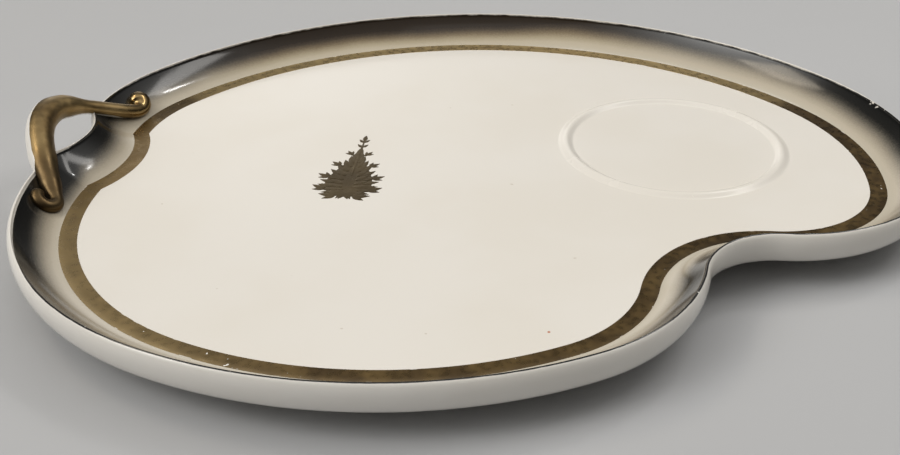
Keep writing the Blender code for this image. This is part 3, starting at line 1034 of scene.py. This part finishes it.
def gilded(look, dark, light, bare, sheen=GOLD_SHEEN):
    """Gilding with brushed clouds. Where bare is 1, the porcelain under it shows."""
    color = look.mix(look.patches(*GOLD_CLOUDS), dark, light)
    look.set("Base Color", look.mix(bare, color, WHITE))
    look.set("Metallic", look.math("SUBTRACT", 1.0, bare))
    look.set("Roughness", look.patches(*GOLD_SMEARS, *sheen))
    look.set("Normal", look.bumps(*GOLD_GRAIN))
    return look.material


def band_look():
    """Dull gold, thin along its edges and scratched at the front left."""
    look = Look("band_gilding")
    worn = look.near(BAND_WORN_PLACE, BAND_WORN_SIZE, BAND_WORN_MORE)
    scratches = look.patches(*BAND_SCRATCHES, more=worn)
    across = look.trait("across")
    edges = look.sum(look.ramp(across, BAND_EDGE, 0.0), look.ramp(across, 1 - BAND_EDGE, 1.0))
    frayed = look.math("MULTIPLY", edges, look.patches(*BAND_FRAYS))
    # Painted reflection: paler gold at the back and front left, browner away from the handle
    pale, brown = look.trait("pale"), look.trait("brown")
    dark = look.mix(pale, look.mix(brown, BAND_DARK, BAND_DARK_REFLECTION), BAND_PALE_REFLECTION)
    light = look.mix(pale, look.mix(brown, BAND_LIGHT, BAND_DARK), BAND_PALE_REFLECTION)
    # Two stretches darkened with painted dark reflection
    for shade in BAND_DARK_REFLECTION_STRETCHES:
        near = look.near(*shade)
        dark, light = look.mix(near, dark, BAND_DARK_REFLECTION), look.mix(near, light, BAND_DARK_REFLECTION)
    return gilded(look, dark, light, look.math("MAXIMUM", scratches, frayed))


def handle_look():
    """Brighter gold over the top of the rod, with bare porcelain along its underside."""
    look = Look("handle_gilding")
    gilt = look.sum(look.trait("gilt"), look.sway(*GILT_DRIFT))
    bare = look.ramp(gilt, GILT_EDGE, -GILT_EDGE)
    # Browner front leg: worn gilding and painted shade
    brown = look.near(LEG_WEAR_AND_SHADE_PLACE, LEG_WEAR_AND_SHADE_SIZE, soft=LEG_WEAR_AND_SHADE_SOFT)
    dark, light = look.mix(brown, HANDLE_DARK, LEG_WORN_AND_SHADED_DARK), look.mix(brown, HANDLE_LIGHT, LEG_WORN_AND_SHADED_LIGHT)
    knob = look.near(KNOB_PLACE, KNOB_SIZE)
    sheen = [look.ramp(knob, 0.0, 1.0, plain, bright) for plain, bright in zip(ROD_SHEEN, KNOB_SHEEN)]
    return gilded(look, dark, light, bare, sheen)


def spray_look():
    """Dark gold with pale worn specks."""
    look = Look("spray_gilding")
    return gilded(look, SPRAY_DARK, SPRAY_LIGHT, look.patches(*SPRAY_WEAR))


def direction(aim):
    """The way to a bearing, in degrees from +Y towards +X, and an elevation."""
    bearing_angle, elevation = (math.radians(degrees) for degrees in aim)
    level = ray(math.pi / 2 - bearing_angle) * math.cos(elevation)
    return Vector((level.x, level.y, math.sin(elevation)))


def lamp(name, aim, distance, width, height, power, color):
    """A rectangular lamp that faces the plate."""
    place = direction(aim) * distance
    data = bpy.data.lights.new(name, "AREA")
    data.shape = "RECTANGLE"
    data.size = width
    data.size_y = height
    data.energy = power
    data.color = color
    source = new_object(name, data)
    source.location = place
    source.rotation_euler = (-place).to_track_quat("-Z", "Y").to_euler()


def studio_floor():
    look = Look("studio_floor")
    look.set("Base Color", look.mix(look.noise(*STUDIO_CLOUDS), STUDIO_GREY, STUDIO_PALE))
    look.set("Roughness", STUDIO_ROUGHNESS)
    bm = bmesh.new()
    bmesh.ops.create_circle(bm, cap_ends=True, segments=STUDIO_SIDES, radius=STUDIO_RADIUS)
    floor = new_object("studio_floor", new_mesh("studio_floor", bm, look.material))


def sky():
    """A world that grows brighter from the horizon up, with soft glows."""
    world = bpy.data.worlds.new("studio")
    bpy.context.scene.world = world
    world.use_nodes = True
    nodes = Nodes(world.node_tree)
    way = nodes.node("TexCoord").outputs["Generated"]
    up = nodes.math("MAXIMUM", nodes.node("SeparateXYZ", {0: way}).outputs["Z"])
    overhead = nodes.math("MULTIPLY", nodes.math("POWER", up, SKY_RISE), SKY_HIGH - SKY_LOW)
    strength = nodes.sum(overhead, SKY_LOW)
    for aim, glow, focus in GLOWS:
        near = nodes.node("VectorMath", {0: way, 1: direction(aim)}, operation="DOT_PRODUCT").outputs["Value"]
        spread = nodes.math("POWER", nodes.math("MAXIMUM", near), focus)
        strength = nodes.sum(strength, nodes.math("MULTIPLY", spread, glow))
    background = nodes.tree.nodes["Background"]
    nodes.put(background.inputs["Color"], SKY_COLOR)
    nodes.put(background.inputs["Strength"], strength)


def camera():
    data = bpy.data.cameras.new("camera")
    data.lens = CAMERA_LENS
    data.clip_start = CAMERA_NEAR
    viewer = new_object("camera", data)
    viewer.location = CAMERA_PLACE
    viewer.rotation_euler = (CAMERA_TILT, 0, 0)
    bpy.context.scene.camera = viewer


new_piece("glazed_dish", dish, glaze_look(), "plate_body")
new_piece("bare_foot", foot, foot_look(), "foot_ring")
new_piece("cup_ring_ridge", cup_ring, ring_look(), "cup_ring")
new_piece("gilt_band", band, band_look(), "gold_band")
new_piece("gilt_leaves", spray, spray_look(), "gilt_spray")
new_piece("gilt_handle", rod, handle_look(), "handle")
bpy.context.scene.view_settings.view_transform = "Standard"
studio_floor()
sky()
for values in LAMPS:
    lamp(*values)
camera()
